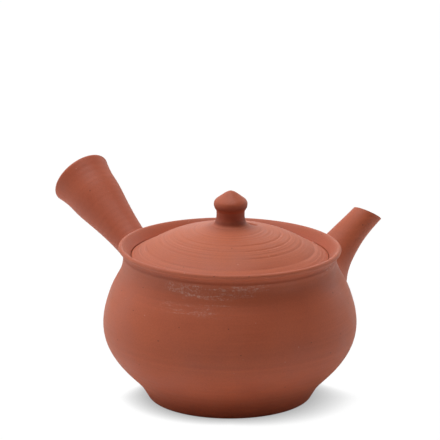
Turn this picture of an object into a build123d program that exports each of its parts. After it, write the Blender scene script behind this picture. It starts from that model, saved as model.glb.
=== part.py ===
from build123d import *
import os
from math import cos, radians, sin

os.makedirs("parts", exist_ok=True)

# The teapot stands on its foot, the spout points along +X and the handle lies near +Y.
# Lengths are millimetres. The points of an outline are (radius, height) pairs.

# Foot and belly of the pot, on the outer face
foot_radius = 35.5
foot_ring_width = 4.6
foot_recess = 2.4
foot_edge_round = 0.9
belly_radius = 55.1
belly_height = 31.5
neck_radius = 46.2
neck_height = 61.6
wall = 2.8
floor_thickness = 3.4
floor_flat_radius = 24.0

# Rolled rim, measured from the neck, and the gallery inside it that carries the lid
rim_overhang = 2.0
rim_rise = 5.0
rim_roll = 2.9
rim_inner_step = 0.3
rim_inner_drop = 0.6
pocket_inset = 3.25
pocket_depth = 2.0
seat_drop = 0.7
seat_width = 4.95
gallery_thickness = 2.5
gallery_round = 0.5

# Lid, with a flange that hangs inside the throat
lid_clearance = 0.3
lid_edge = 1.7
lid_edge_round = 0.3
lid_thickness = 2.7
lid_rise = 15.0
lid_crown_radius = 8.8
flange_clearance = 0.6
flange_depth = 5.2
flange_wall = 2.6
vent_radius = 1.8
vent_distance = 11.6
vent_angle = -11.0

# Knob on the lid
knob_foot_radius = 8.4
knob_waist_radius = 6.2
knob_cap_radius = 7.45
knob_height = 15.2

# Spout, with its centre line in the plane of X and Z, starting behind the pour hole
spout_root_radius = 14.8
spout_tip_radius = 6.1
spout_wall = 2.0
spout_root_depth = 5.32
spout_root_rise = 3.5
spout_start_angle = 23.5
spout_tip_reach = 77.9
spout_tip_height = 68.0
spout_tip_angle = 32.4
spout_cut_angle = 57.0
spout_cut_turn = 8.0

# Hole in the wall behind the spout, and the pierced clay dome over it
pour_hole_radius = 9.5
strainer_radius = 12.4
strainer_set_back = 4.0
strainer_wall = 1.7
strainer_hole_radius = 0.7
strainer_hole_pitch = 2.3
strainer_hole_rings = 4

# Handle, a hollow trumpet whose straight axis starts inside the pot's wall
handle_angle = 92.0
handle_tilt = 31.0
handle_start_radius = 44.0
handle_start_height = 39.0
handle_length = 72.0
handle_root_radius = 6.9
handle_end_radius = 13.8
handle_wall = 2.3

# Liquid clay that glues the pieces to the pot and to the lid
slip_thickness = 0.35
slip_recess = 0.4

# One overrun for every cut and every end that is trimmed off
overrun = 6.0

# Outer wall, as (height share, radius share) from foot to belly and from belly to neck
lower_wall_shares = (
    (0.08, 0.077),
    (0.143, 0.138),
    (0.222, 0.235),
    (0.317, 0.383),
    (0.444, 0.582),
    (0.603, 0.781),
    (0.794, 0.936),
)
upper_wall_shares = (
    (0.18, 0.034),
    (0.41, 0.225),
    (0.61, 0.49),
    (0.78, 0.80),
    (0.91, 0.965),
)
# Places along the outer wall, as shares of its length, where the inner wall follows it
inner_wall_shares = (0.19, 0.26, 0.34, 0.44, 0.54, 0.64, 0.74, 0.84, 0.91)
# Place of the pour hole's middle, as a share of the outer wall's length
pour_hole_share = 0.70
# Rolled rim, as (radius share from neck to lip, height share of the roll)
rim_shares = (
    (0.025, 0.07),
    (0.25, 0.26),
    (0.75, 0.36),
    (1.0, 0.586),
    (0.96, 0.82),
    (0.77, 0.955),
    (0.38, 1.0),
)
# Lid dome, as (radius share from crown to edge, height share from edge to crown)
dome_shares = (
    (0.954, 0.075),
    (0.865, 0.19),
    (0.718, 0.40),
    (0.544, 0.615),
    (0.334, 0.785),
    (0.124, 0.915),
)
# Knob, as height shares with radius shares from waist to foot, and from waist to cap
knob_stem_shares = (
    (0.01, 0.773),
    (0.026, 0.545),
    (0.05, 0.386),
    (0.10, 0.25),
    (0.165, 0.105),
    (0.23, 0.02),
)
knob_waist_share = 0.295
knob_cap_shares = (
    (0.355, 0.0),
    (0.411, 0.06),
    (0.4645, 0.43),
    (0.529, 0.84),
    (0.61, 1.0),
    (0.675, 0.866),
)
# The knob's pointed top, as (height share, share of the cap's radius)
knob_point_shares = ((0.74, 0.885), (0.81, 0.70), (0.90, 0.44), (0.96, 0.245))
# Spout, as places along its centre line and how much of the root's flare is left there
spout_flare_shares = (
    (0.0, 1.0),
    (0.07, 0.965),
    (0.165, 0.735),
    (0.26, 0.485),
    (0.40, 0.28),
    (0.54, 0.17),
    (0.77, 0.05),
    (1.0, 0.0),
)
spout_start_pull_share = 0.20
spout_tip_pull_share = 0.51
# Handle, as (length share, radius share from root to end)
handle_shares = (
    (0.12, 0.0),
    (0.25, 0.02),
    (0.50, 0.18),
    (0.70, 0.49),
    (0.82, 0.69),
    (0.90, 0.77),
    (0.95, 0.87),
)


def between(start, end, share):
    return start + (end - start) * share


# Outer wall of the pot, from the foot's edge to the neck
outer_points = [(foot_radius, 0)]
for up, out in lower_wall_shares:
    outer_points.append((between(foot_radius, belly_radius, out), belly_height * up))
outer_points.append((belly_radius, belly_height))
for up, out in upper_wall_shares:
    radius = between(belly_radius, neck_radius, out)
    outer_points.append((radius, between(belly_height, neck_height, up)))
outer_points.append((neck_radius, neck_height))

with BuildLine() as outer_wall:
    Spline(*outer_points)


def wall_point(share, depth):
    """The point at this share of the outer wall's length, this deep in the clay."""
    along = outer_wall.line % share
    point = (outer_wall.line @ share) + Vector(-along.Y, along.X) * depth
    return (point.X, point.Y)


def inner_wall_points(depth):
    """The inner wall from the floor to the gallery, this deep inside the outer face."""
    floor = (floor_flat_radius, foot_recess + floor_thickness + depth - wall)
    return [floor] + [wall_point(share, depth) for share in inner_wall_shares]


def inner_wall_ends():
    """The inner wall leaves the floor level and ends along the outer wall."""
    return ((1, 0), outer_wall.line % inner_wall_shares[-1])


def pot_filled(growth):
    """The pot's outer form without its hollow, grown all over by a skin."""
    skin = outer_points
    if growth:
        skin = [wall_point(share, -growth) for share in (0, *inner_wall_shares, 1)]
    with BuildPart() as filled:
        with BuildSketch(Plane.XZ):
            with BuildLine():
                side = Spline(*skin)
                Polyline(side @ 1, (0, (side @ 1).Y), (0, (side @ 0).Y), side @ 0)
            make_face()
        revolve(axis=Axis.Z)
    return filled.part


def pot_hollow(depth):
    """The room inside the pot up to the gallery, this deep inside the outer face."""
    with BuildPart() as hollow:
        with BuildSketch(Plane.XZ):
            with BuildLine():
                side = Spline(*inner_wall_points(depth), tangents=inner_wall_ends())
                Polyline(side @ 1, (0, (side @ 1).Y), (0, (side @ 0).Y), side @ 0)
            make_face()
        revolve(axis=Axis.Z)
    return hollow.part


# Axis of the pour hole, square to the outer wall
pour_along = outer_wall.line % pour_hole_share
pour_outward = Vector(pour_along.Y, 0, -pour_along.X)
pour_upward = Vector(pour_along.X, 0, pour_along.Y)
pour_middle = outer_wall.line @ pour_hole_share
pour_origin = Vector(pour_middle.X, 0, pour_middle.Y)

# Pot body, thrown in one with its foot ring, rolled rim and gallery
rim_radius = neck_radius + rim_overhang
rim_inner_radius = neck_radius - rim_inner_step
rim_height = neck_height + rim_rise
rim_foot = rim_height - rim_roll
pocket_radius = neck_radius - pocket_inset
throat_radius = pocket_radius - seat_width
seat_height = neck_height - seat_drop
rim_points = [
    (between(neck_radius, rim_radius, out), rim_foot + rim_roll * up)
    for out, up in rim_shares
]
floor_top = foot_recess + floor_thickness
recess_radius = foot_radius - foot_ring_width - foot_recess / 2

with BuildPart() as pot_body:
    with BuildSketch(Plane.XZ) as pot_section:
        with BuildLine():
            outside = Spline(*outer_points)
            inside = Spline(*inner_wall_points(wall), tangents=inner_wall_ends())
            rim = Spline(
                outside @ 1,
                *rim_points,
                (rim_inner_radius, rim_height - rim_inner_drop),
            )
            FilletPolyline(
                rim @ 1,
                (pocket_radius, seat_height + pocket_depth),
                (pocket_radius, seat_height),
                (throat_radius, seat_height),
                (throat_radius, seat_height - gallery_thickness),
                inside @ 1,
                radius=gallery_round,
            )
            Polyline(
                inside @ 0,
                (0, floor_top),
                (0, foot_recess),
                (recess_radius, foot_recess),
                (foot_radius - foot_ring_width, 0),
                outside @ 0,
            )
        make_face()
        fillet(pot_section.vertices().group_by(Axis.Y)[0], foot_edge_round)
    revolve(axis=Axis.Z)
    with BuildSketch(Plane(pour_origin, z_dir=pour_outward)):
        Circle(pour_hole_radius)
    extrude(amount=overrun, both=True, mode=Mode.SUBTRACT)

# Spout, a thrown cone bent to its curve and luted over the pour hole
spout_root = pour_origin - pour_outward * spout_root_depth + pour_upward * spout_root_rise
spout_start = (spout_root.X, spout_root.Z)
spout_tip = (spout_tip_reach, spout_tip_height)
spout_chord = (Vector(*spout_tip) - Vector(*spout_start)).length


def pulled(point, angle, distance):
    """The point moved by this distance, at this angle above level."""
    return (
        point[0] + distance * cos(radians(angle)),
        point[1] + distance * sin(radians(angle)),
    )


with BuildLine(Plane.XZ) as spout_line:
    Bezier(
        spout_start,
        pulled(spout_start, spout_start_angle, spout_chord * spout_start_pull_share),
        pulled(spout_tip, spout_tip_angle, -spout_chord * spout_tip_pull_share),
        spout_tip,
    )
spout_centre_line = spout_line.line
spout_end = (spout_centre_line @ 1) + (spout_centre_line % 1) * overrun
spout_cut_direction = Vector(
    cos(radians(spout_cut_angle)) * cos(radians(spout_cut_turn)),
    cos(radians(spout_cut_angle)) * sin(radians(spout_cut_turn)),
    sin(radians(spout_cut_angle)),
)
spout_cut = Plane(spout_centre_line @ 1, z_dir=spout_cut_direction)


def spout_form(growth):
    """The spout as a filled trumpet, with its radius changed by this growth."""
    with BuildPart() as form:
        for share, flare in spout_flare_shares:
            direction = spout_centre_line % share
            with BuildSketch(Plane(spout_centre_line @ share, x_dir=(0, 1, 0), z_dir=direction)):
                Circle(between(spout_tip_radius, spout_root_radius, flare) + growth)
        with BuildSketch(Plane(spout_end, x_dir=(0, 1, 0), z_dir=spout_centre_line % 1)):
            Circle(spout_tip_radius + growth)
        loft()
    return form.part


pot_form = pot_filled(0)
pot_form_with_slip = pot_filled(slip_thickness)
spout_bore = spout_form(-spout_wall)

with BuildPart() as spout:
    add(spout_form(0))
    add(spout_bore, mode=Mode.SUBTRACT)
    add(pot_form_with_slip, mode=Mode.SUBTRACT)
    split(bisect_by=spout_cut, keep=Keep.BOTTOM)

with BuildPart() as spout_slip:
    add(spout_form(-slip_recess))
    add(spout_bore, mode=Mode.SUBTRACT)
    add(pot_form_with_slip, mode=Mode.INTERSECT)
    add(pot_form, mode=Mode.SUBTRACT)

# Strainer, a pierced dome luted over the pour hole from inside
strainer_middle = pour_origin - pour_outward * (wall - strainer_set_back)
strainer_face = Plane(strainer_middle, z_dir=-pour_outward)
strainer_inside = strainer_radius - strainer_wall
strainer_hole_start = strainer_inside - strainer_hole_radius


def strainer_hole_plane(ring, turn):
    """A plane just inside the dome, square to the hole at this ring and turn."""
    tilt = ring * strainer_hole_pitch / strainer_radius
    outward = strainer_face.x_dir * cos(turn) + strainer_face.y_dir * sin(turn)
    direction = strainer_face.z_dir * cos(tilt) + outward * sin(tilt)
    return Plane(strainer_middle + direction * strainer_hole_start, z_dir=direction)


strainer_planes = [strainer_hole_plane(0, 0)]
for ring in range(1, strainer_hole_rings + 1):
    ring_holes = 6 * ring
    for hole in range(ring_holes):
        strainer_planes.append(strainer_hole_plane(ring, radians(360 * hole / ring_holes)))


def strainer_shell():
    """The strainer's dome as a whole hollow ball, before the pot's wall trims it."""
    with BuildPart() as shell:
        with Locations(strainer_middle):
            Sphere(strainer_radius)
            Sphere(strainer_inside, mode=Mode.SUBTRACT)
    return shell.part


with BuildPart() as strainer:
    add(strainer_shell())
    add(pot_hollow(wall + slip_thickness), mode=Mode.INTERSECT)
    with BuildSketch(*strainer_planes):
        Circle(strainer_hole_radius)
    extrude(amount=strainer_wall + 2 * strainer_hole_radius, mode=Mode.SUBTRACT)

with BuildPart() as strainer_slip:
    add(strainer_shell())
    add(pot_hollow(wall), mode=Mode.INTERSECT)
    add(pot_hollow(wall + slip_thickness), mode=Mode.SUBTRACT)

# Handle, a thrown trumpet, open at its flared end and luted to the shoulder
handle_side = Vector(-sin(radians(handle_angle)), cos(radians(handle_angle)), 0)
handle_direction = Vector(
    cos(radians(handle_tilt)) * cos(radians(handle_angle)),
    cos(radians(handle_tilt)) * sin(radians(handle_angle)),
    sin(radians(handle_tilt)),
)
handle_origin = Vector(
    handle_start_radius * cos(radians(handle_angle)),
    handle_start_radius * sin(radians(handle_angle)),
    handle_start_height,
)
handle_plane = Plane(
    handle_origin, x_dir=handle_side, z_dir=handle_side.cross(handle_direction)
)
handle_axis = Axis(handle_origin, handle_direction)
handle_lip_start = handle_length - handle_wall / 2


def handle_outline(change):
    """The handle's side from its root to where the lip begins, moved by this much."""
    points = [(handle_root_radius + change, 0)]
    for along, out in handle_shares:
        radius = between(handle_root_radius, handle_end_radius, out) + change
        points.append((radius, handle_lip_start * along))
    return points + [(handle_end_radius + change, handle_lip_start)]


def handle_filled(growth):
    """The handle's outer form, filled up to where the lip begins."""
    with BuildPart() as form:
        with BuildSketch(handle_plane):
            with BuildLine():
                side = Spline(*handle_outline(growth))
                Polyline(side @ 1, (0, handle_lip_start), (0, 0), side @ 0)
            make_face()
        revolve(axis=handle_axis)
    return form.part


with BuildPart() as handle:
    with BuildSketch(handle_plane):
        with BuildLine():
            outer_side = Spline(*handle_outline(0))
            inner_side = Spline(*handle_outline(-handle_wall))
            ThreePointArc(
                outer_side @ 1,
                (handle_end_radius - handle_wall / 2, handle_length),
                inner_side @ 1,
            )
            Line(inner_side @ 0, outer_side @ 0)
        make_face()
    revolve(axis=handle_axis)
    add(pot_form_with_slip, mode=Mode.SUBTRACT)

with BuildPart() as handle_slip:
    add(handle_filled(-slip_recess))
    add(handle_filled(-handle_wall), mode=Mode.SUBTRACT)
    add(pot_form_with_slip, mode=Mode.INTERSECT)
    add(pot_form, mode=Mode.SUBTRACT)

# Lid, a thrown dome with a level rim that rests on the gallery
lid_radius = pocket_radius - lid_clearance
lid_edge_height = seat_height + lid_edge
lid_crown_height = seat_height + lid_rise
flange_radius = throat_radius - flange_clearance
flange_inner_radius = flange_radius - flange_wall
dome_points = [
    (
        between(lid_crown_radius, lid_radius, out),
        between(lid_edge_height, lid_crown_height, up),
    )
    for out, up in dome_shares
]
under_points = [
    (radius, height - lid_thickness)
    for radius, height in dome_points
    if radius < flange_inner_radius
]

with BuildPart() as lid:
    with BuildSketch(Plane.XZ) as lid_section:
        with BuildLine():
            dome = Spline(
                (lid_radius, lid_edge_height),
                *dome_points,
                (lid_crown_radius, lid_crown_height),
            )
            underside = Spline(
                (lid_crown_radius, lid_crown_height - lid_thickness),
                *reversed(under_points),
                (flange_inner_radius, between(seat_height, under_points[0][1], 0.5)),
            )
            Polyline(
                dome @ 1,
                (0, lid_crown_height),
                (0, lid_crown_height - lid_thickness),
                underside @ 0,
            )
            Polyline(
                underside @ 1,
                (flange_inner_radius, seat_height - flange_depth),
                (flange_radius, seat_height - flange_depth),
                (flange_radius, seat_height),
                (lid_radius, seat_height),
                dome @ 0,
            )
        make_face()
        fillet(lid_section.vertices().group_by(Axis.X)[-1], lid_edge_round)
        fillet(lid_section.vertices().group_by(Axis.Y)[0], lid_edge_round)
    revolve(axis=Axis.Z)
    with BuildSketch(Plane.XY.offset(seat_height)):
        with PolarLocations(vent_distance, 1, start_angle=vent_angle):
            Circle(vent_radius)
    extrude(amount=lid_crown_height, mode=Mode.SUBTRACT)

# Slip under the knob, and the knob thrown on the lid's crown
knob_base = lid_crown_height + slip_thickness
with BuildPart() as knob_slip:
    with BuildSketch(Plane.XY.offset(lid_crown_height)):
        Circle(knob_foot_radius - slip_recess)
    extrude(amount=slip_thickness)

knob_points = [(knob_foot_radius, knob_base)]
for up, out in knob_stem_shares:
    radius = between(knob_waist_radius, knob_foot_radius, out)
    knob_points.append((radius, knob_base + knob_height * up))
knob_points.append((knob_waist_radius, knob_base + knob_height * knob_waist_share))
for up, out in knob_cap_shares:
    radius = between(knob_waist_radius, knob_cap_radius, out)
    knob_points.append((radius, knob_base + knob_height * up))
for up, out in knob_point_shares:
    knob_points.append((knob_cap_radius * out, knob_base + knob_height * up))
knob_points.append((0, knob_base + knob_height))

with BuildPart() as lid_knob:
    with BuildSketch(Plane.XZ):
        with BuildLine():
            profile = Spline(*knob_points)
            Polyline(profile @ 1, (0, knob_base), profile @ 0)
        make_face()
    revolve(axis=Axis.Z)

pot_body.part.label = "pot_body"
spout.part.label = "spout"
spout_slip.part.label = "spout_slip"
strainer.part.label = "strainer"
strainer_slip.part.label = "strainer_slip"
handle.part.label = "handle"
handle_slip.part.label = "handle_slip"
lid.part.label = "lid"
knob_slip.part.label = "knob_slip"
lid_knob.part.label = "lid_knob"

export_step(pot_body.part, "parts/pot_body.step")
export_step(spout.part, "parts/spout.step")
export_step(spout_slip.part, "parts/spout_slip.step")
export_step(strainer.part, "parts/strainer.step")
export_step(strainer_slip.part, "parts/strainer_slip.step")
export_step(handle.part, "parts/handle.step")
export_step(handle_slip.part, "parts/handle_slip.step")
export_step(lid.part, "parts/lid.step")
export_step(knob_slip.part, "parts/knob_slip.step")
export_step(lid_knob.part, "parts/lid_knob.step")
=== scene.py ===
from functools import partial
from math import atan, cos, inf, pi, radians, sin, tau

import bmesh
import bpy
import numpy as np
from mathutils import Euler, Matrix, Vector


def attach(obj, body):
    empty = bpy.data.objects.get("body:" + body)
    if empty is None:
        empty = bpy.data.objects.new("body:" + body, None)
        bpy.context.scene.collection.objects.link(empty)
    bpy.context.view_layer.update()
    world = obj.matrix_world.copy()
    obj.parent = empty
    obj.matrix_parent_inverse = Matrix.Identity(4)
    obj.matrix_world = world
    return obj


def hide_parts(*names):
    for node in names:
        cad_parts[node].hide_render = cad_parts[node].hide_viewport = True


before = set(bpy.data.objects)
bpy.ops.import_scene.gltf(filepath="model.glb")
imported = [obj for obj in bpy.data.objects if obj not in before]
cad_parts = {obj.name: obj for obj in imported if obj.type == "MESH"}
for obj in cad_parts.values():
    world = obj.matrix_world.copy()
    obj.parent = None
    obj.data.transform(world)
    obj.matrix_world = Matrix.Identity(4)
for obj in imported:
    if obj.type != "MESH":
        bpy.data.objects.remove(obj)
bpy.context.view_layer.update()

# Pot body: thrown in one from red clay with its foot, rolled rim and gallery,
# turned at the foot when leather-hard, wiped with thin pale slip, and fired
# without a glaze. It stands on the turned foot ring.

MM = 0.001


def smooth_line(points, steps, start_slope=None, end_slope=None):
    """The even curve that a rib would draw through these points, as steps + 1 points.

    It is a cubic spline. An end with no slope given runs out straight.
    """
    at = np.array(points, float)
    run = np.r_[0, np.cumsum(np.hypot(*np.diff(at, axis=0).T))]
    gap = np.diff(run)
    count = len(run)
    # The curve bends alike on both sides of a point, which gives one sum for each point's bend
    sums = np.zeros((count, count))
    turns = np.zeros((count, 2))
    for i in range(1, count - 1):
        sums[i, i - 1:i + 2] = gap[i - 1], 2 * (gap[i - 1] + gap[i]), gap[i]
        turns[i] = 6 * ((at[i + 1] - at[i]) / gap[i] - (at[i] - at[i - 1]) / gap[i - 1])
    if start_slope is None:
        sums[0, 0] = 1
    else:
        sums[0, :2] = 2 * gap[0], gap[0]
        turns[0] = 6 * ((at[1] - at[0]) / gap[0] - np.array(start_slope, float))
    if end_slope is None:
        sums[-1, -1] = 1
    else:
        sums[-1, -2:] = gap[-1], 2 * gap[-1]
        turns[-1] = 6 * (np.array(end_slope, float) - (at[-1] - at[-2]) / gap[-1])
    bends = np.linalg.solve(sums, turns)
    place = np.linspace(0, run[-1], steps + 1)
    i = np.clip(np.searchsorted(run, place, side="right") - 1, 0, count - 2)
    done, left, whole = (place - run[i])[:, None], (run[i + 1] - place)[:, None], gap[i][:, None]
    curved = (bends[i] * left ** 3 + bends[i + 1] * done ** 3) / (6 * whole)
    before = (at[i] / whole - bends[i] * whole / 6) * left
    after = (at[i + 1] / whole - bends[i + 1] * whole / 6) * done
    return curved + before + after


def soft_corners(points, radius):
    """Straight runs whose inner corners a wet finger has rounded, in seven points each."""
    ends = [np.array(point, float) for point in points]
    out = [ends[0]]
    for before, corner, after in zip(ends, ends[1:], ends[2:]):
        one, two = before - corner, after - corner
        # Two corners share the run between them, so each takes less than half of it
        reach = min(np.linalg.norm(one), np.linalg.norm(two)) * 0.48
        one, two = one / np.linalg.norm(one), two / np.linalg.norm(two)
        half = np.arccos(np.clip(one @ two, -1, 1)) / 2
        cut = min(radius / np.tan(half), reach)
        for k in np.linspace(0, 1, 7):
            out.append(corner + one * cut * (1 - k) ** 2 + two * cut * k ** 2)
    return out + [ends[-1]]


def fine_runs(points, longest):
    """The same line with no run longer than this."""
    out = [np.array(points[0], float)]
    for point in points[1:]:
        first, last = out[-1], np.array(point, float)
        gap = np.linalg.norm(last - first)
        if gap < longest * 0.02:
            continue
        count = max(1, int(np.ceil(gap / longest)))
        out += [first + (last - first) * k / count for k in range(1, count + 1)]
    return out


def add_node(tree, kind, links=(), **settings):
    """Adds a node and gives back its outputs.

    Settings go to its properties. Links go to its inputs, in order, or by name or number.
    """
    column, row = divmod(len(tree.nodes), 6)
    node = tree.nodes.new(kind)
    node.location = (column * 220, -row * 260)
    for key, value in settings.items():
        setattr(node, key, value)
    for key, value in (links.items() if isinstance(links, dict) else enumerate(links)):
        if isinstance(value, bpy.types.NodeSocket):
            tree.links.new(value, node.inputs[key])
        else:
            node.inputs[key].default_value = value
    return node.outputs


def add_maths(tree, operation, *values):
    """Works out one number from up to three."""
    return add_node(tree, "ShaderNodeMath", values, operation=operation)[0]


def add_ease(tree, value, low, high, start=0.0, end=1.0):
    """Runs smoothly from start to end while the value goes from low to high."""
    links = (value, low, high, start, end)
    return add_node(tree, "ShaderNodeMapRange", links, interpolation_type="SMOOTHSTEP")[0]


def tree_tools(tree):
    """The three functions above, for one tree."""
    return [partial(add, tree) for add in (add_node, add_maths, add_ease)]


def wheel_tree():
    """The wheel: turns a profile round a centre line, and leaves the fingers' spiral lines on it.

    The profile is a mesh line of (radius, 0, place along the centre line) points. Its attribute
    finger_marks says how strongly the fingers marked each place, and tool_cuts how deep a turning
    tool cut there. Its cuts fade out and come back round the piece.
    """
    tree = bpy.data.node_groups.new("Potter's wheel", "GeometryNodeTree")
    face = tree.interface
    face.new_socket("Profile", in_out="INPUT", socket_type="NodeSocketGeometry")
    for name, kind, start in (
        ("Steps round", "NodeSocketInt", 240),
        ("Line start", "NodeSocketVector", (0, 0, 0)),
        ("Line start pull", "NodeSocketVector", (0, 0, 0.05)),
        ("Line end pull", "NodeSocketVector", (0, 0, 0.1)),
        ("Line end", "NodeSocketVector", (0, 0, 0.15)),
        ("Side", "NodeSocketVector", (0, 1, 0)),
        ("Lip facing", "NodeSocketVector", (0, 0, 1)),
        ("Lip lean from", "NodeSocketFloat", 1.0),
        ("Lip lean to", "NodeSocketFloat", 2.0),
        ("Line pitch", "NodeSocketFloat", 0.003),
        ("Line depth", "NodeSocketFloat", 0.0),
        ("Deepest cuts at", "NodeSocketFloat", 0.0),
        ("Wobble", "NodeSocketFloat", 0.0),
        ("Seed", "NodeSocketFloat", 1.0),
        ("Closed profile", "NodeSocketBool", False),
        ("Clay", "NodeSocketMaterial", None),
    ):
        socket = face.new_socket(name, in_out="INPUT", socket_type=kind)
        if start is not None:
            socket.default_value = start
    face.new_socket("Thrown piece", in_out="OUTPUT", socket_type="NodeSocketGeometry")

    node, maths, ease = tree_tools(tree)
    vectors = "ShaderNodeVectorMath"
    given = node("NodeGroupInput")

    # A flat sheet: one row for each point of the profile, one column for each step round
    size = node(
        "GeometryNodeAttributeDomainSize", {"Geometry": given["Profile"]}, component="MESH"
    )["Point Count"]
    rows = maths("ADD", size, given["Closed profile"])
    columns = maths("ADD", given["Steps round"], 1)
    sheet = node("GeometryNodeMeshGrid", (1.0, 1.0, rows, columns))["Mesh"]
    position = node("GeometryNodeInputPosition")[0]
    place = node("ShaderNodeSeparateXYZ", (position,))
    last_row = maths("SUBTRACT", rows, 1)
    row = maths("MULTIPLY", maths("ADD", place[0], 0.5), last_row)
    row = maths("ROUND", row)
    turn = maths("MULTIPLY", maths("ADD", place[1], 0.5), tau)
    turn_cos, turn_sin = maths("COSINE", turn), maths("SINE", turn)

    # The profile's point for this row, the one ahead and the one behind, wrapped if it is closed
    last_point = maths("SUBTRACT", size, 1)
    points = []
    for step in (0.0, 1.0, -1.0):
        index = maths("ADD", row, step)
        wrapped = maths("FLOORED_MODULO", index, size)
        held = maths("MINIMUM", maths("MAXIMUM", index, 0.0), last_point)
        pick = node(
            "GeometryNodeSwitch",
            {"Switch": given["Closed profile"], "False": held, "True": wrapped},
            input_type="FLOAT",
        )[0]
        points.append(node("FunctionNodeFloatToInt", (pick,))[0])
    felt = [
        node("GeometryNodeInputNamedAttribute", {"Name": name}, data_type="FLOAT")[0]
        for name in ("finger_marks", "tool_cuts")
    ]
    here, ahead, behind, marks, cuts = (
        node(
            "GeometryNodeSampleIndex",
            {"Geometry": given["Profile"], "Value": value, "Index": index},
            data_type=kind, domain="POINT",
        )[0]
        for value, index, kind in (
            *((position, point, "FLOAT_VECTOR") for point in points),
            *((value, points[0], "FLOAT") for value in felt),
        )
    )
    way = node(vectors, (ahead, behind), operation="SUBTRACT")[0]
    way = node(vectors, (way,), operation="NORMALIZE")[0]
    way = node("ShaderNodeSeparateXYZ", (way,))
    out_r, out_z = way[2], maths("MULTIPLY", way[0], -1.0)
    spot = node("ShaderNodeSeparateXYZ", (here,))

    def uneven_round(circle, rise, detail):
        """Noise that closes round the piece. A larger circle or rise gives smaller patches."""
        across = maths("MULTIPLY_ADD", turn_cos, circle, given["Seed"])
        beyond = maths("MULTIPLY", turn_sin, circle)
        up = maths("MULTIPLY", spot[2], rise)
        where = node("ShaderNodeCombineXYZ", (across, beyond, up))[0]
        return node("ShaderNodeTexNoise", {"Vector": where, "Scale": 1.0, "Detail": detail})[0]

    # The fingers rise a little with each turn, so their lines are one spiral, uneven in depth
    uneven = uneven_round(1.3, 90.0, 2.0)
    climbed = maths("DIVIDE", spot[2], given["Line pitch"])
    turned = maths("DIVIDE", turn, tau)
    wave = maths("MULTIPLY", maths("ADD", climbed, turned), tau)
    wave = maths("MULTIPLY_ADD", maths("SINE", wave), 0.5, -0.5)
    line = maths("MULTIPLY", maths("MULTIPLY", wave, uneven), given["Line depth"])
    # The wall is never quite round, in patches of about a quarter of a turn
    dent = maths("SUBTRACT", 0.5, uneven_round(0.7, 22.0, 1.0))
    dent = maths("MULTIPLY", dent, given["Wobble"])
    lift = maths("MULTIPLY", maths("ADD", line, dent), marks)
    # A tool cuts deepest on one side, and a fifth as deep where it skips
    faced = maths("COSINE", maths("SUBTRACT", turn, given["Deepest cuts at"]))
    bite = maths("MULTIPLY_ADD", faced, 0.12, uneven)
    bite = ease(bite, 0.40, 0.64, 0.2)
    lift = maths("SUBTRACT", lift, maths("MULTIPLY", cuts, bite))
    radius = maths("MAXIMUM", maths("MULTIPLY_ADD", lift, out_r, spot[0]), 0.0)
    along = maths("MULTIPLY_ADD", lift, out_z, spot[2])

    # The centre line, and the ring's place and lean on it
    centre_line = node(
        "GeometryNodeCurvePrimitiveBezierSegment",
        {"Resolution": 128, "Start": given["Line start"], "Start Handle": given["Line start pull"],
         "End Handle": given["Line end pull"], "End": given["Line end"]},
        mode="POSITION",
    )[0]
    reading = node(
        "GeometryNodeSampleCurve", {"Curves": centre_line, "Length": along},
        mode="LENGTH", use_all_curves=True,
    )
    forward = node(vectors, (reading["Tangent"],), operation="NORMALIZE")[0]
    other = node(vectors, (forward, given["Side"]), operation="CROSS_PRODUCT")[0]
    arms = []
    for side, share in ((given["Side"], turn_cos), (other, turn_sin)):
        reach = maths("MULTIPLY", share, radius)
        arms.append(node(vectors, {0: side, "Scale": reach}, operation="SCALE")[0])
    arm = node(vectors, arms, operation="ADD")[0]
    # Near the lip each ring slides askew along the piece until it lies square to the lip's facing
    lean = node(vectors, (arm, given["Lip facing"]), operation="DOT_PRODUCT")["Value"]
    lean = maths("MULTIPLY", lean, -1.0)
    faced = node(vectors, (forward, given["Lip facing"]), operation="DOT_PRODUCT")["Value"]
    lean = maths("DIVIDE", lean, faced)
    share = ease(along, given["Lip lean from"], given["Lip lean to"])
    lean = maths("MULTIPLY", lean, share)
    shift = node(vectors, {0: forward, "Scale": lean}, operation="SCALE")[0]
    spot_out = node(vectors, (reading["Position"], arm), operation="ADD")[0]
    spot_out = node(vectors, (spot_out, shift), operation="ADD")[0]
    formed = node("GeometryNodeSetPosition", {"Geometry": sheet, "Position": spot_out})[0]
    closed = node("GeometryNodeMergeByDistance", {"Geometry": formed, "Distance": 2e-6})[0]
    real = node("GeometryNodeRealizeInstances", {"Geometry": closed})[0]
    clay = node("GeometryNodeSetMaterial", {"Geometry": real, "Material": given["Clay"]})[0]
    node("NodeGroupOutput", (clay,))
    return tree


wheel = wheel_tree()


def trim(piece, cutter):
    """Cuts one piece of clay with another, and throws the cutter away."""
    knife = piece.modifiers.new("Cut", "BOOLEAN")
    knife.operation = "DIFFERENCE"
    knife.solver = "EXACT"
    knife.object = cutter
    settle(piece)
    bpy.data.objects.remove(cutter)


def settle(piece):
    """Turns the piece and its modifiers into one plain mesh whose faces point outwards."""
    depsgraph = bpy.context.evaluated_depsgraph_get()
    mesh = bpy.data.meshes.new_from_object(piece.evaluated_get(depsgraph))
    piece.modifiers.clear()
    piece.data = mesh
    mesh.name = piece.name
    shell = bmesh.new()
    shell.from_mesh(mesh)
    bmesh.ops.remove_doubles(shell, verts=shell.verts, dist=1e-6)
    bmesh.ops.dissolve_degenerate(shell, edges=shell.edges, dist=1e-7)
    bmesh.ops.recalc_face_normals(shell, faces=shell.faces)
    if shell.calc_volume(signed=True) < 0:
        bmesh.ops.reverse_faces(shell, faces=shell.faces)
    for face in shell.faces:
        face.smooth = True
        face.material_index = 0
    shell.to_mesh(mesh)
    shell.free()
    clays = [clay for clay in mesh.materials if clay]
    mesh.materials.clear()
    for clay in clays[:1]:
        mesh.materials.append(clay)


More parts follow.
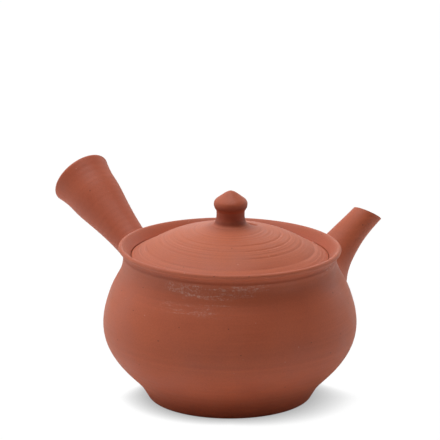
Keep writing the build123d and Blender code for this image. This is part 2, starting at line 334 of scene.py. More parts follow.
def throw(name, profile, marks, clay=None, cuts=0.0, **inputs):
    """Throws a piece on the wheel: profile and cuts in millimetres, marks from 0 to 1."""
    mesh = bpy.data.meshes.new(name)
    points = [(max(r, 0) * MM, 0, z * MM) for r, z in profile]
    mesh.from_pydata(points, [(i, i + 1) for i in range(len(points) - 1)], [])
    for attribute, values in (("finger_marks", marks), ("tool_cuts", np.multiply(cuts, MM))):
        felt = mesh.attributes.new(attribute, "FLOAT", "POINT")
        felt.data.foreach_set("value", np.broadcast_to(values, len(points)).astype(np.float32))
    piece = bpy.data.objects.new(name, mesh)
    bpy.context.scene.collection.objects.link(piece)
    turned = piece.modifiers.new("Potter's wheel", "NODES")
    turned.node_group = wheel
    names = {item.name: item.identifier for item in wheel.interface.items_tree}
    inputs["Clay"] = clay
    for key, value in inputs.items():
        turned[names[key]] = value
    settle(piece)
    return piece


def even_marks(line, strength, low, high):
    """Finger marks of one strength between these places along the piece, and none beyond them."""
    return [strength if low < z < high else 0.0 for r, z in line]


def crease(piece, degrees=50):
    """Keeps edges sharper than this crisp, so that only the curved clay is shaded smooth."""
    shell = bmesh.new()
    shell.from_mesh(piece.data)
    for edge in shell.edges:
        edge.smooth = len(edge.link_faces) == 2 and edge.calc_face_angle(0) < radians(degrees)
    shell.to_mesh(piece.data)
    shell.free()


def srgb(hex_colour):
    """An sRGB hex colour as the linear colour that the shader wants."""
    parts = [int(hex_colour[k:k + 2], 16) / 255 for k in (1, 3, 5)]
    line = [c / 12.92 if c <= 0.04045 else ((c + 0.055) / 1.055) ** 2.4 for c in parts]
    return (*line, 1.0)


def red_clay(name, body, dark, ring_pitch, ring_show=0.05, upright=True, lean=None, film=(),
             bands_and_painted_light=()):
    """Unglazed red earthenware, thrown: matte and sandy, with rings as far apart as ring_pitch.

    Its colour is cloudy, between body and dark. upright rings follow the height, and the others
    the distance from the axis. lean turns the pattern onto a leaning axis. film lists where thin
    pale slip was wiped on: turn and reach in degrees, lowest and highest place in millimetres,
    strength, and how much of it dried as foam. worn lists bands of colour: wear, stains and
    smeared clay, and also painted shade and painted sheen: height (or distance, as the rings)
    and reach in millimetres, strength and colour.
    """
    clay = bpy.data.materials.new(name)
    clay.use_nodes = True
    tree = clay.node_tree
    tree.nodes.clear()
    node, maths, ease = tree_tools(tree)
    vectors = "ShaderNodeVectorMath"

    def patches(where, scale, detail, low, high, start=0.0, end=1.0, roughness=0.5):
        """Soft patches of noise: it runs from start to end between its values low and high."""
        links = {"Vector": where, "Scale": scale, "Detail": detail, "Roughness": roughness}
        return ease(node("ShaderNodeTexNoise", links)[0], low, high, start, end)

    def band(value, centre, core, reach, strength):
        """A soft band about centre, at full strength out to core and gone at reach."""
        away = maths("ABSOLUTE", maths("SUBTRACT", value, centre))
        return ease(away, core, reach, strength, 0.0)

    def mixed(share, under, over, blend="MIX"):
        """This share of one colour over another. A Mix node numbers its colours 6, 7 and 2."""
        links = {0: share, 6: under, 7: over}
        return node("ShaderNodeMix", links, data_type="RGBA", blend_type=blend)[2]

    place = node("ShaderNodeTexCoord")["Object"]
    if lean:
        place = node("ShaderNodeMapping", {"Vector": place, "Rotation": lean})[0]
    axes = node("ShaderNodeSeparateXYZ", (place,))
    flat = node("ShaderNodeCombineXYZ", (axes[0], axes[1]))[0]
    ring_way = axes[2] if upright else node(vectors, (flat,), operation="LENGTH")["Value"]
    # Rings: one value along the rings, drifting slowly round the piece and fading here and there
    drift = node("ShaderNodeTexNoise", {"Vector": place, "Scale": 25.0, "Detail": 1.0})[0]
    ring_at = maths("MULTIPLY_ADD", drift, ring_pitch * 0.8, ring_way)
    rings = node(
        "ShaderNodeTexNoise",
        {"W": ring_at, "Scale": 1 / ring_pitch, "Detail": 3.0, "Roughness": 0.6},
        noise_dimensions="1D",
    )[0]
    rings = maths("SUBTRACT", rings, 0.5)
    fading = patches(place, 48.0, 1.0, 0.38, 0.62, 0.25)
    rings = maths("MULTIPLY", rings, fading)
    # Cloudy colour from the kiln, about 12 mm across
    cloud = node("ShaderNodeTexNoise", {"Vector": place, "Scale": 85.0, "Detail": 3.0})[0]
    tone = mixed(cloud, srgb(dark), srgb(body))
    # Patches of 30 mm or so where the flame left the clay a little more orange
    flame = patches(place, 30.0, 2.0, 0.44, 0.62)
    tone = mixed(flame, tone, srgb("#FFFAEF"), "MULTIPLY")
    # Sand of about 0.6 mm gives the clay its dry, even grain
    sand_show = 0.36
    sand = node(
        "ShaderNodeTexNoise", {"Vector": place, "Scale": 1600.0, "Detail": 2.0, "Roughness": 0.65}
    )[0]
    sand = maths("SUBTRACT", sand, 0.5)
    light = maths("MULTIPLY_ADD", sand, sand_show, 1.0)
    light = maths("MULTIPLY_ADD", rings, 2 * ring_show, light)
    tone = mixed(1.0, tone, light, "MULTIPLY")
    if film:
        # Level streaks 1 mm high, and flecks as fine as the clay's grain that break them up
        level, fine = (
            node("ShaderNodeMapping", {"Vector": place, "Scale": scale})[0]
            for scale in ((85.0, 85.0, 1000.0), (650.0, 650.0, 1900.0))
        )
        flecks = patches(fine, 1.0, 3.0, 0.40, 0.66, 0.12, roughness=0.6)
        streaks = patches(level, 1.0, 3.0, 0.46, 0.64, roughness=0.6)
        streaks = maths("MULTIPLY", streaks, flecks)
        # Foam: the dried walls of bubbles 1.5 mm across, swirled by a millimetre or so
        swirl = node("ShaderNodeTexNoise", {"Vector": place, "Scale": 320.0, "Detail": 2.0})
        swirled = node(
            vectors, (swirl["Color"], (0.0024, 0.0024, 0.0024), place), operation="MULTIPLY_ADD"
        )[0]
        bubbles = node(
            "ShaderNodeTexVoronoi", {"Vector": swirled, "Scale": 640.0}, feature="DISTANCE_TO_EDGE"
        )["Distance"]
        foam = ease(bubbles, 0.0, 0.20, 1.0, 0.0)
        outward = node(vectors, (flat,), operation="NORMALIZE")[0]
        cover = 0.0
        for turn, reach, low, high, strength, foamy in film:
            way = (cos(radians(turn)), sin(radians(turn)), 0.0)
            beside = node(vectors, (outward, way), operation="DOT_PRODUCT")["Value"]
            beside = ease(beside, cos(radians(reach)), cos(radians(reach * 0.4)))
            middle, half = (low + high) / 2 * MM, (high - low) / 2 * MM
            patch = band(axes[2], middle, half * 0.5, half, strength)
            patch = maths("MULTIPLY", beside, patch)
            dried = maths("MULTIPLY", streaks, 1 - foamy)
            dried = maths("MULTIPLY_ADD", foam, foamy, dried)
            dried = maths("MULTIPLY", dried, patch)
            cover = maths("MAXIMUM", dried, cover)
        broken = patches(place, 850.0, 3.0, 0.36, 0.60, 0.15, roughness=0.65)
        cover = maths("MULTIPLY", cover, broken)
        # A thin haze of it went all round the neck
        haze_height, haze_core, haze_reach, haze_strength = 0.0600, 0.001, 0.0050, 0.03
        haze = band(axes[2], haze_height, haze_core, haze_reach, haze_strength)
        thinning = patches(place, 70.0, 2.0, 0.35, 0.6, 0.2)
        haze = maths("MULTIPLY", haze, thinning)
        cover = maths("MAXIMUM", cover, haze)
        tone = mixed(cover, tone, srgb("#D6B4A6"))
    # Bands of colour: wear, stains and smeared clay, and also painted shade and painted sheen that
    # stand in for light
    for centre, reach, strength, hex_colour in bands_and_painted_light:
        band_share = band(ring_way, centre * MM, 0.0, reach * MM, strength)
        tone = mixed(band_share, tone, srgb(hex_colour))
    # Iron specks and pale grains, each about 0.4 mm, one to every few square centimetres
    grain = node("ShaderNodeTexVoronoi", {"Vector": place, "Scale": 1100.0})
    kinds = node("ShaderNodeSeparateColor", (grain["Color"],))
    core = ease(grain["Distance"], 0.16, 0.46, 1.0, 0.0)
    iron, pale = (0, 0.9965, 0.70, "#2B120B"), (1, 0.9985, 0.22, "#D9B09C")
    for kind, rare, strength, hex_colour in (iron, pale):
        speck = maths("MULTIPLY", maths("GREATER_THAN", kinds[kind], rare), core)
        speck = maths("MULTIPLY", speck, strength)
        tone = mixed(speck, tone, srgb(hex_colour))
    # The grain and the rings stand 0.06 mm proud at most, and dry clay has a faint sheen
    height = node("ShaderNodeTexNoise", {"Vector": place, "Scale": 2600.0, "Detail": 2.0})[0]
    height = maths("MULTIPLY_ADD", rings, 26 * ring_show, height)
    bump = node("ShaderNodeBump", {"Height": height, "Distance": 0.00006, "Strength": 0.6})[0]
    dryness = ease(cloud, 0.2, 0.8, 0.56, 0.70)
    skin = node(
        "ShaderNodeBsdfPrincipled",
        {"Base Color": tone, "Roughness": dryness, "IOR": 1.5, "Normal": bump,
         "Specular IOR Level": 0.5, "Sheen Weight": 0.11, "Sheen Roughness": 0.45,
         "Sheen Tint": srgb("#FFC2A0")},
    )[0]
    node("ShaderNodeOutputMaterial", (skin,))
    return clay


def dress(cad_name, material):
    """Gives a CAD piece that keeps its place the finish of the real one."""
    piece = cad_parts[cad_name]
    for slot in piece.material_slots:
        slot.material = material


# Sizes of the pot, in millimetres: the clay's outer face, its wall and its seat for the lid
foot_radius, belly_radius, belly_height = 35.5, 55.1, 31.5
neck_radius, neck_height, wall = 46.2, 61.6, 2.8
rim_low, rim_rise, rim_flare = 63.75, 3.1, 2.0
rim_inside, rim_top = 45.9, 66.2
pocket_radius, pocket_top, seat = 42.95, 62.9, 60.9
throat_radius, seat_under = 38.0, 58.4
ring_radius, recess_radius, recess_height = 30.9, 29.7, 2.4
floor_radius, floor_height = 24.0, 5.8

belly_shares = ((.08, .077), (.143, .138), (.222, .235), (.317, .383), (.444, .582), (.603, .781),
                (.794, .936), (1, 1))
shoulder_shares = ((.18, .034), (.41, .225), (.61, .49), (.78, .80), (.91, .965), (1, 1))
rim_shares = ((.025, .07), (.25, .26), (.75, .36), (1, .586), (.96, .82), (.77, .955), (.38, 1))
outer_points = [(foot_radius, 0.0)]
outer_points += [
    (foot_radius + (belly_radius - foot_radius) * out, belly_height * up)
    for up, out in belly_shares
]
outer_points += [
    (belly_radius + (neck_radius - belly_radius) * out,
     belly_height + (neck_height - belly_height) * up)
    for up, out in shoulder_shares
]
outer_wall = smooth_line(outer_points, steps=150)


def wall_place(share, depth):
    """The point at this share of the outer wall, this deep in the clay."""
    run = np.r_[0, np.cumsum(np.hypot(*np.diff(outer_wall, axis=0).T))]
    at = share * run[-1]

    def on_wall(distance):
        return np.array([np.interp(distance, run, outer_wall[:, k]) for k in (0, 1)])

    way = on_wall(at + 0.2) - on_wall(at - 0.2)
    way = way / np.hypot(*way)
    return on_wall(at) + np.array([-way[1], way[0]]) * depth


inner_points = [(floor_radius, floor_height)] + [
    tuple(wall_place(share, wall)) for share in (.19, .26, .34, .44, .54, .64, .74, .84, .91)
]
inner_end = wall_place(0.92, wall) - wall_place(0.90, wall)
inner_wall = smooth_line(inner_points, 105, (1, 0), inner_end / np.hypot(*inner_end))
rim_line = smooth_line(
    [(neck_radius, neck_height)]
    + [(neck_radius + rim_flare * out, rim_low + rim_rise * up) for out, up in rim_shares]
    + [(rim_inside, rim_top)],
    steps=60,
)
gallery = soft_corners(
    [(rim_inside, rim_top), (pocket_radius, pocket_top), (pocket_radius, seat),
     (throat_radius, seat), (throat_radius, seat_under), inner_wall[-1]],
    radius=0.5,
)
foot = soft_corners(
    [(0, recess_height), (recess_radius, recess_height), (ring_radius, 0.0), (foot_radius, 0.0),
     outer_wall[6]],
    radius=0.9,
)
pot_line = fine_runs(
    foot[:-1] + list(outer_wall[6:]) + list(rim_line[1:]) + gallery[1:]
    + list(inner_wall[::-1][1:]) + [(0, floor_height)],
    longest=1.1,
)


def pot_marks(r, z):
    """Strong finger lines on the belly, weak near the rim, none where the pot or the lid sits."""
    lowest, highest, fade = 1.2, 61.0, 5
    gallery_reach, gallery_foot = 45.0, 58.0
    if z > gallery_foot and r < gallery_reach or z < lowest:
        return 0.0
    if z > highest:
        return 0.15
    return min(1.0, (z - lowest) / fade, (highest - z) / fade)


def neck_ridges(r, z):
    """The low ridge and the shallow groove that the rib left under the rolled rim, outside."""
    outside, ridge, groove = 45.5, (62.0, 0.14, 0.55), (60.5, -0.05, 0.5)
    if r < outside:
        return r
    for height, rise, width in (ridge, groove):
        r = r + rise * np.exp(-((z - height) / width) ** 2)
    return r


pot_line = [(neck_ridges(r, z), z) for r, z in pot_line]
pot_clay = red_clay(
    "Red clay, thrown and wiped", "#B45938", "#A34B2D", 0.0021, ring_show=0.10,
    film=((207, 13, 58.0, 62.8, 0.95, 0.3), (218, 17, 55.6, 62.2, 0.85, 0.1),
          (238, 9, 56.6, 61.4, 0.6, 0.2), (244, 14, 59.2, 62.8, 0.6, 0.0),
          (214, 24, 49.0, 56.0, 0.34, 0.0), (306, 26, 59.4, 64.0, 0.45, 0.0)),
    # The pale band at the rim is partly wear and partly painted sheen of the light from above
    bands_and_painted_light=((rim_top, 2.2, 0.05, "#DCAA94"),),
)
# The rim and the seat lean by a degree, low towards the spout
seat_lean, low_side = radians(1.1), radians(12)
seat_up = Vector((sin(seat_lean) * cos(low_side), sin(seat_lean) * sin(low_side), cos(seat_lean)))
pot = throw(
    "pot_thrown", pot_line, [pot_marks(r, z) for r, z in pot_line], pot_clay,
    **{"Steps round": 228, "Lip facing": tuple(seat_up), "Lip lean from": 0.0555,
       "Lip lean to": 0.0608, "Line pitch": 0.0026, "Line depth": 0.00005, "Wobble": 0.0003,
       "Seed": 3.0},
)


def round_cutter(name, place, low_radius, high_radius, length, sides):
    """A rod or a cone of this length in millimetres, with its middle at this place."""
    shell = bmesh.new()
    bmesh.ops.create_cone(
        shell, cap_ends=True, segments=sides, radius1=low_radius * MM, radius2=high_radius * MM,
        depth=length * MM, matrix=place,
    )
    mesh = bpy.data.meshes.new(name)
    shell.to_mesh(mesh)
    shell.free()
    cutter = bpy.data.objects.new(name, mesh)
    bpy.context.scene.collection.objects.link(cutter)
    return cutter


# The hole behind the spout, cut square to the wall with a ring cutter
pour_radius, pour_depth = 9.5, 12
pour_middle = Vector((53.59, 0, 42.22)) * MM
pour_out = Vector((0.960, 0, 0.279)).normalized()
pour_place = Matrix.Translation(pour_middle)
pour_place = pour_place @ pour_out.to_track_quat("Z", "Y").to_matrix().to_4x4()
cutter = round_cutter("ring_cutter", pour_place, pour_radius, pour_radius, pour_depth, sides=96)
trim(pot, cutter)
crease(pot)
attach(pot, "pot")
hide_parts("pot_body")

# Spout: a small cone thrown on its own, bent while soft, cut obliquely at the
# tip and stuck over the pour hole with slip. Same red clay, wiped smooth.

spout_start, spout_end = np.array([47.5, 44.1]), np.array([77.9, 68.0])
spout_tip_radius, spout_flare, spout_wall, spout_lip_round = 6.1, 8.7, 2.0, 0.12
spout_flare_shares = ((0, 1), (.07, .965), (.165, .735), (.26, .485), (.40, .28), (.54, .17),
                      (.77, .05), (1, 0))
spout_chord = np.hypot(*(spout_end - spout_start))
start_way, end_way = (
    np.array([cos(radians(slope)), sin(radians(slope))]) * spout_chord * share
    for slope, share in ((23.5, 0.20), (32.4, 0.51))
)


def in_plane(point):
    """A point of the spout's centre line, in metres."""
    return (point[0] * MM, 0.0, point[1] * MM)


done = np.linspace(0, 1, 400)[:, None]
left = 1 - done
bend = left ** 3 * spout_start + 3 * left ** 2 * done * (spout_start + start_way) \
    + 3 * left * done ** 2 * (spout_end - end_way) + done ** 3 * spout_end
spout_length = np.hypot(*np.diff(bend, axis=0).T).sum()
spout_side = smooth_line(
    [(spout_tip_radius + spout_flare * flare, share * spout_length)
     for share, flare in spout_flare_shares],
    steps=84,
)
spout_inner = [(r - spout_wall, z) for r, z in spout_side]
spout_tip = soft_corners(
    [spout_side[-2], spout_side[-1], spout_inner[-1], spout_inner[-2]], spout_lip_round
)
spout_line = list(spout_side[:-2]) + spout_tip + spout_inner[-3::-1]
spout_line = fine_runs(spout_line + [spout_side[0]], longest=0.7)[:-1]
spout_clay = red_clay("Red clay, spout", "#B45938", "#A74E2F", 0.0025, ring_show=0.07)
# The tip is cut to face more upwards than the spout, and a little to one side
lip_rise, lip_turn = radians(57), radians(8)
lip_facing = Vector((cos(lip_rise) * cos(lip_turn), cos(lip_rise) * sin(lip_turn), sin(lip_rise)))
marks_root, marks_tip = 3, spout_length - 4
spout = throw(
    "spout_bent", spout_line, even_marks(spout_line, 0.35, marks_root, marks_tip), spout_clay,
    **{"Steps round": 128, "Closed profile": True,
       "Line start": in_plane(spout_start), "Line start pull": in_plane(spout_start + start_way),
       "Line end pull": in_plane(spout_end - end_way), "Line end": in_plane(spout_end),
       "Lip facing": tuple(lip_facing), "Lip lean from": (spout_length - 14) * MM,
       "Lip lean to": spout_length * MM, "Line pitch": 0.0022, "Line depth": 0.0001,
       "Wobble": 0.0003, "Seed": 8.0},
)

slip_thickness = 0.35


def pot_shape_with_slip(name):
    """The pot's outer form and the slip on it, which the stuck-on pieces are cut to fit."""
    skin = [tuple(wall_place(share, -slip_thickness)) for share in np.linspace(0.02, 1, 90)]
    return throw(
        name, [(0, skin[0][1])] + skin + [(0, skin[-1][1])], 0.0, **{"Steps round": 256}
    )


trim(spout, pot_shape_with_slip("spout_fitting"))
crease(spout)
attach(spout, "pot")
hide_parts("spout")

# Slip: the same clay with more water, brushed on as glue between the pieces.
# It dries hard, and fires a little darker than the clay.

slip_clay = red_clay("Fired slip", "#7E3926", "#6E301E", 0.0012)
dress("spout_slip", slip_clay)

# Strainer: a thin dome of the same clay, pierced with a needle while soft and
# stuck over the pour hole from inside with slip.

strainer_clay = red_clay("Red clay, pierced", "#AE5435", "#9D472A", 0.0018)
dress("strainer", strainer_clay)
dress("strainer_slip", slip_clay)

# Handle: a hollow trumpet thrown on its own, open at the flared end, cut to fit
# the shoulder and stuck on with slip. Its throwing rings show near the end.

handle_turn, handle_tilt, handle_length = radians(92), radians(31), 72.0
handle_slim_radius, handle_flare, handle_wall, handle_lip_round = 6.9, 6.9, 2.3, 1.15
handle_flare_shares = ((.12, 0), (.25, .02), (.50, .18), (.70, .49), (.82, .69), (.90, .77),
                       (.95, .87), (1, 1))
handle_side = Vector((-sin(handle_turn), cos(handle_turn), 0))
handle_way = Vector((
    cos(handle_tilt) * cos(handle_turn), cos(handle_tilt) * sin(handle_turn), sin(handle_tilt)
))
handle_reach, handle_height = 44.0, 39.0
handle_foot = Vector((
    handle_reach * cos(handle_turn), handle_reach * sin(handle_turn), handle_height
)) * MM
lip_start = handle_length - handle_lip_round
lip_middle = handle_slim_radius + handle_flare - handle_lip_round
handle_outside = smooth_line(
    [(handle_slim_radius, 0)]
    + [(handle_slim_radius + handle_flare * out, lip_start * along)
       for along, out in handle_flare_shares],
    steps=112,
)
handle_inside = [(r - handle_wall, z) for r, z in handle_outside]
handle_lip = [
    (lip_middle + handle_lip_round * cos(a), lip_start + handle_lip_round * sin(a))
    for a in np.linspace(0, pi, 13)[1:-1]
]
handle_line = list(handle_outside) + handle_lip + handle_inside[::-1]
handle_line = fine_runs(handle_line + [handle_outside[0]], longest=0.8)[:-1]
handle_lean = handle_way.to_track_quat("Z", "Y").inverted().to_euler()
handle_clay = red_clay(
    "Red clay, handle", "#AF5637", "#A1492D", 0.0024, ring_show=0.07, lean=tuple(handle_lean)
)
handle_up = handle_side.cross(handle_way).cross(handle_way).normalized()
line_reach = 0.1  # the centre line's length in metres, past the handle's end
marks_root, marks_end = 8, handle_length - 2
handle = throw(
    "handle_thrown", handle_line, even_marks(handle_line, 0.9, marks_root, marks_end), handle_clay,
    **{"Steps round": 144, "Closed profile": True,
       "Line start": tuple(handle_foot),
       "Line start pull": tuple(handle_foot + handle_way * line_reach / 3),
       "Line end pull": tuple(handle_foot + handle_way * line_reach * 2 / 3),
       "Line end": tuple(handle_foot + handle_way * line_reach),
       "Side": tuple(handle_up), "Lip facing": tuple(handle_way),
       "Line pitch": 0.0029, "Line depth": 0.0001, "Wobble": 0.0003, "Seed": 14.0},
)
trim(handle, pot_shape_with_slip("handle_fitting"))
crease(handle)
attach(handle, "pot")
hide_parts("handle")
dress("handle_slip", slip_clay)

# Lid: thrown in one with the flange under it, then turned on the wheel, which
# left fine rings and a few clear ones on the dome. It rests in the gallery.

lid_radius, crown_radius, lid_edge, dome_rise, lid_thickness = 42.65, 8.8, 1.7, 13.3, 2.7
flange_inside, flange_outside, flange_foot = 34.8, 37.4, 55.7
dome_shares = ((.954, .075), (.865, .19), (.718, .40), (.544, .615), (.334, .785), (.124, .915))
# Rings that the tool cut, in millimetres: distance from the axis, depth and width
clear_rings = (
    (13.8, 0.06, 0.35), (17.4, 0.09, 0.3), (19.0, 0.05, 0.2), (22.0, 0.30, 0.40),
    (23.2, 0.05, 0.2), (26.2, 0.28, 0.36), (28.9, 0.05, 0.25), (31.0, 0.16, 0.5),
    (32.2, 0.05, 0.2), (36.6, 0.26, 1.0), (39.0, 0.06, 0.3), (40.6, 0.12, 0.3),
)
dome_points = [
    (crown_radius + (lid_radius - crown_radius) * out, seat + lid_edge + dome_rise * up)
    for out, up in ((1, 0), *dome_shares, (0, 1))
]
lid_dome = smooth_line(dome_points, steps=120)
under = [(r, z - lid_thickness) for r, z in dome_points[3:]]
lid_under = smooth_line([(flange_inside, (seat + under[0][1]) / 2)] + under, steps=76)[::-1]
edge = soft_corners(
    [lid_under[-1], (flange_inside, flange_foot), (flange_outside, flange_foot),
     (flange_outside, seat), (lid_radius, seat), lid_dome[0], lid_dome[3]],
    radius=0.3,
)


def turned_ring(r, z):
    """How deep the turning tool cut here. It reached the dome and not the lid's underside."""
    under_top, under_slope = 74.5, 0.33
    if z < under_top - under_slope * r:
        return 0.0
    return sum(depth * np.exp(-((r - ring) / width) ** 2) for ring, depth, width in clear_rings)


lid_line = fine_runs(
    [(0, lid_under[0][1])] + list(lid_under) + edge[1:-1] + list(lid_dome[3:])
    + [(0, lid_dome[-1][1])],
    longest=0.5,
)
lid_clay = red_clay(
    "Red clay, lid, turned", "#B96140", "#AA5436", 0.0011, ring_show=0.19, upright=False,
    # Painted shade with some stain: a darker ring on the lid round the knob's foot
    bands_and_painted_light=((8.6, 4.2, 0.34, "#7E3018"),),
)
# The lid leans with its seat, sits a little to one side in it, and carries the knob
seat_at = Vector((0.13, 0.08, seat)) * MM
lid_axis = {
    key: tuple(seat_at + seat_up * (place - seat) * MM)
    for key, place in (("Line start", 0), ("Line start pull", 50), ("Line end pull", 100),
                       ("Line end", 150))
}
lid_axis["Side"] = tuple(seat_up.cross(Vector((1, 0, 0))).normalized())
marks_edge = 63.2
lid = throw(
    "lid_turned", lid_line, even_marks(lid_line, 0.8, marks_edge, inf), lid_clay,
    [turned_ring(r, z) for r, z in lid_line],
    **{"Steps round": 240, **lid_axis, "Deepest cuts at": radians(235), "Line pitch": 0.0008,
       "Line depth": 0.00005, "Wobble": 0.00012, "Seed": 21.0},
)

# The steam hole, pierced with a needle, and the shallow dish that a finger wiped round it
vent_reach, vent_turn = 11.6, radians(-11)
vent_at = Vector((vent_reach * cos(vent_turn), vent_reach * sin(vent_turn), 0)) * MM
needle, dish = (60, 90, 1.25, 1.25), (73.9, 76.1, 1.0, 4.4)
for low, high, low_radius, high_radius in (needle, dish):
    vent_place = Matrix.Translation(vent_at + Vector((0, 0, (low + high) / 2)) * MM)
    cutter = round_cutter("vent_cutter", vent_place, low_radius, high_radius, high - low, sides=48)
    trim(lid, cutter)
crease(lid)
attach(lid, "lid")
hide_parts("lid")

# Knob: thrown on the lid's crown, with a waist for the fingers and a pointed
# top, and stuck down with slip.

knob_base, knob_height = 76.25, 15.2
knob_foot, knob_waist, knob_cap = 8.2, 6.1, 7.3
foot_shares = ((.01, .773), (.026, .545), (.05, .386), (.10, .25), (.165, .105), (.23, .02),
               (.295, 0))
cap_shares = ((.355, 0), (.411, .06), (.4645, .43), (.529, .84), (.61, 1), (.675, .866))
point_shares = ((.74, .885), (.81, .70), (.90, .44), (.96, .245))
knob_side = [(knob_foot, 0.0)]
knob_side += [(knob_waist + (knob_foot - knob_waist) * out, up) for up, out in foot_shares]
knob_side += [(knob_waist + (knob_cap - knob_waist) * out, up) for up, out in cap_shares]
knob_side += [(knob_cap * out, up) for up, out in point_shares]
knob_side += [(0.0, 1.0)]
knob_curve = smooth_line([(r, knob_base + knob_height * up) for r, up in knob_side], steps=150)
# The foot's edge was smeared down over the slip and thins out on the lid
foot_smear = [(8.02, knob_base), (8.05, 75.9), (8.75, 75.86), (8.55, 75.97)]
knob_line = fine_runs([(0, knob_base)] + foot_smear + list(knob_curve[1:]), longest=0.6)
knob_clay = red_clay(
    "Red clay, knob", "#B35838", "#A14B2E", 0.0016,
    # Painted shade on the waist, under the cap and above the foot; the last band is the lid's
    # colour
    bands_and_painted_light=((81.0, 4.6, 1.00, "#9F4426"), (84.3, 1.9, 0.34, "#4A1408"),
          (78.0, 1.4, 0.30, "#480F02"), (75.9, 1.1, 1.0, "#A95537")),
)
marks_foot, marks_point = 78.5, 1.5
knob = throw(
    "knob_thrown", knob_line,
    [0.6 if z > marks_foot and r > marks_point else 0.0 for r, z in knob_line], knob_clay,
    **{"Steps round": 120, **lid_axis, "Line pitch": 0.0017, "Line depth": 0.00006,
       "Wobble": 0.00025, "Seed": 33.0},
)
crease(knob)
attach(knob, "lid")
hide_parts("lid_knob")
dress("knob_slip", slip_clay)

# Photographer's table: white paper under the pot, soft boxes above, beside and
# behind it in a white room, and the camera at the photograph's viewing angle.

paper = bpy.data.materials.new("White paper")
paper.use_nodes = True
paper.node_tree.nodes.clear()
node, maths, ease = tree_tools(paper.node_tree)
sight = node("ShaderNodeLightPath")["Is Camera Ray"]
shine = node("ShaderNodeBsdfDiffuse", {"Color": srgb("#1C1D1E")})[0]
dim = node("ShaderNodeBsdfDiffuse", {"Color": srgb("#F6F5F3")})[0]
# Painted shadow: to the camera the paper glows, and the pot's occlusion dims it round its foot,
# out to a reach set by place: 9 mm in front, more at its sides, most at the spout's, and least
# behind it, where the back lamps reach
front_reach, spout_side_gain, other_side_gain = 0.0090, 0.20, -0.08
behind_from, behind_to, behind_share = -0.022, 0.010, 0.3
darkest_paper = 0.24
paper_right, paper_front = (0.788, -0.616, 0.0), (-0.616, -0.788, 0.0)
on_paper = node("ShaderNodeTexCoord")["Object"]
sideways, forwards = (
    node("ShaderNodeVectorMath", (on_paper, way), operation="DOT_PRODUCT")["Value"]
    for way in (paper_right, paper_front)
)
one_side, other_side = (
    maths("MULTIPLY_ADD", sideways, gain, front_reach)
    for gain in (spout_side_gain, other_side_gain)
)
shade_share = ease(forwards, behind_from, behind_to, behind_share)
shade_reach = maths("MULTIPLY", maths("MAXIMUM", one_side, other_side), shade_share)
painted_paper_shade = node("ShaderNodeAmbientOcclusion", {"Distance": shade_reach}, samples=16)["AO"]
painted_paper_shade = node("ShaderNodeMapRange", (painted_paper_shade, 0.0, 0.8, darkest_paper, 1.0))[0]
glow = node("ShaderNodeEmission", {"Strength": painted_paper_shade})[0]
seen = node("ShaderNodeAddShader", (shine, glow))[0]
either = node("ShaderNodeMixShader", (sight, dim, seen))[0]
node("ShaderNodeOutputMaterial", (either,))
sheet_mesh = bpy.data.meshes.new("paper")
half_sheet = 5.0
sheet_mesh.from_pydata(
    [(-half_sheet, -half_sheet, 0), (half_sheet, -half_sheet, 0), (half_sheet, half_sheet, 0),
     (-half_sheet, half_sheet, 0)], [], [(0, 1, 2, 3)],
)
sheet_mesh.materials.append(paper)
sheet = bpy.data.objects.new("paper", sheet_mesh)
bpy.context.scene.collection.objects.link(sheet)

picture_size, focal_pixels = 440, 3448.5
view_turn, eye_rise, eye_distance = radians(-38), radians(17.34), 1.5
# The picture's middle is this many pixels above the pot's, and to the left of it
pixels_up, pixels_left = 95.95, 9.85
tip_up, tip_left = atan(pixels_up / focal_pixels), atan(pixels_left / focal_pixels)
aim = Vector((0, 0, 0.035))


def way_from_pot(turn, rise):
    """The way from the pot at this turn from the front and this rise over the table."""
    return Vector((sin(turn) * cos(rise), -cos(turn) * cos(rise), sin(rise)))


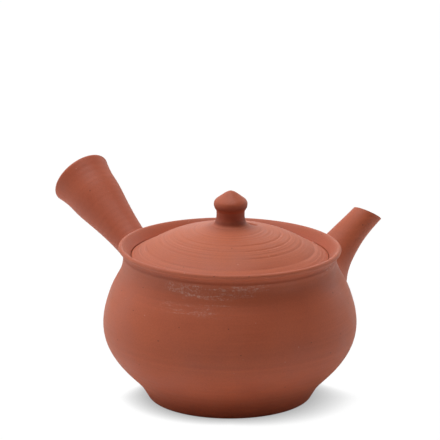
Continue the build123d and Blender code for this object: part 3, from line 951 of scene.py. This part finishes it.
eye = aim + eye_distance * way_from_pot(view_turn, eye_rise)
camera_data = bpy.data.cameras.new("camera")
camera_data.sensor_width = 36.0
camera_data.lens = focal_pixels / picture_size * camera_data.sensor_width
camera_data.clip_end = 20.0
camera = bpy.data.objects.new("camera", camera_data)
camera.location = eye
camera.rotation_mode = "QUATERNION"
camera.rotation_quaternion = (
    (aim - eye).to_track_quat("-Z", "Y") @ Euler((tip_up, tip_left, 0)).to_quaternion()
)
bpy.context.scene.collection.objects.link(camera)
bpy.context.scene.camera = camera

# Soft boxes, placed by turn from the camera's side, in degrees to its right
for name, side_turn, rise, far, size, watts in (
    ("lamp_overhead", 0, 89, 1.3, 0.7, 9.1),
    ("lamp_left_high", -90, 60, 1.3, 0.7, 6.0),
    ("lamp_left_low", -80, 8, 2.4, 0.6, 3.7),
    ("lamp_right_low", 95, 8, 2.4, 0.6, 2.8),
    ("lamp_back_left", -150, 35, 1.3, 0.7, 2.2),
    ("lamp_back_right", 150, 35, 1.3, 0.7, 1.4),
    ("lamp_back", 180, 18, 1.3, 0.7, 2.7),
    ("lamp_back_left_low", -125, 12, 2.4, 0.6, 7.6),
    ("lamp_back_right_low", 135, 12, 2.4, 0.6, 6.5),
):
    toward = way_from_pot(view_turn + radians(side_turn), radians(rise))
    lamp_data = bpy.data.lights.new(name, "AREA")
    lamp_data.shape = "DISK"
    lamp_data.size = size
    lamp_data.energy = watts
    lamp = bpy.data.objects.new(name, lamp_data)
    lamp.location = aim + toward * far
    lamp.rotation_mode = "QUATERNION"
    lamp.rotation_quaternion = toward.to_track_quat("Z", "Y")
    lamp.visible_camera = False
    bpy.context.scene.collection.objects.link(lamp)

# The white room: full white to the eye, and a soft grey fill on the pot
room_fill = 0.116
world = bpy.data.worlds.new("room")
world.use_nodes = True
world.node_tree.nodes.clear()
node = partial(add_node, world.node_tree)
sight = node("ShaderNodeLightPath")["Is Camera Ray"]
fill, white = (
    node("ShaderNodeBackground", {"Color": srgb("#FFFFFF"), "Strength": strength})[0]
    for strength in (room_fill, 1.0)
)
either = node("ShaderNodeMixShader", (sight, fill, white))[0]
node("ShaderNodeOutputWorld", (either,))
bpy.context.scene.world = world
bpy.context.scene.view_settings.view_transform = "Standard"
